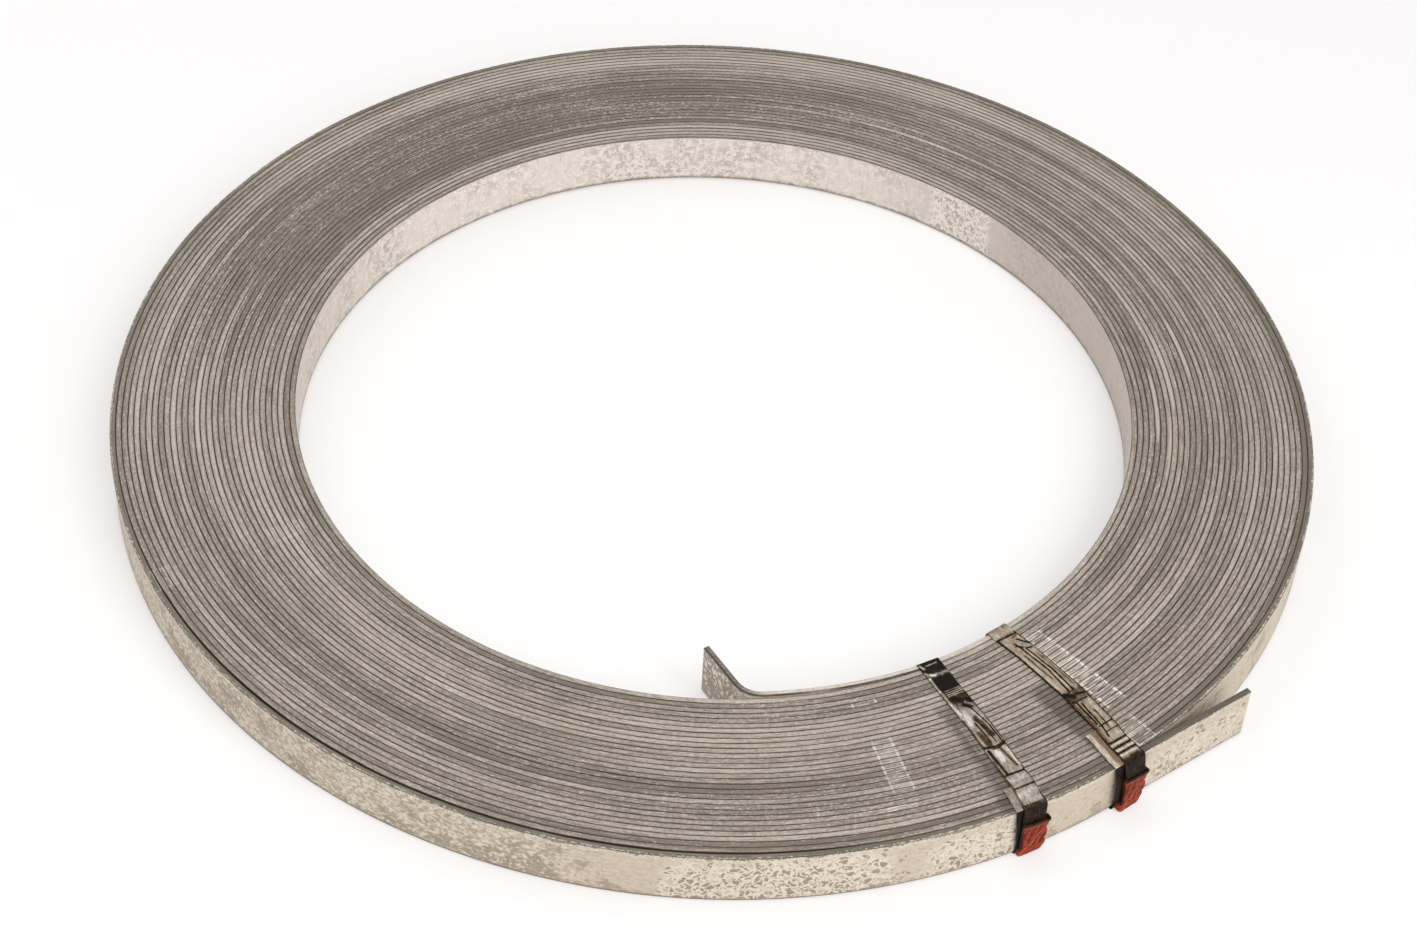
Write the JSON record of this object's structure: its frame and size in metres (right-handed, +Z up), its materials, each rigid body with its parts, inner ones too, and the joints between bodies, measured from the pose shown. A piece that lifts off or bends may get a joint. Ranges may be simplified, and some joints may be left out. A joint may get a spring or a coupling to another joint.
{
  "type": "galvanized earthing strip coil",
  "caption": "Flat coil of galvanized steel earthing strip, wound edge-on round an open bore and held by two steel straps with crimped seals.",
  "frame": {"origin": "centre of the coil, on the floor it lies on", "axes": "+Z up along the coil's axis; the straps and both ends of the strip are on the -Y side"},
  "size_m": [0.6399, 0.64, 0.0322],
  "materials": {
    "zinc": "hot-dip galvanized, dull grey edges and pale blotched faces",
    "strapping": "black waxed steel strapping, scuffed on the top run",
    "seal_paint": "red painted steel, worn where it is crimped"
  },
  "bodies": {
    "root": {"strip_coil": "zinc", "strap_left": "strapping", "strap_right": "strapping", "seal_left": "seal_paint", "seal_right": "seal_paint"}
  },
  "joints": []
}
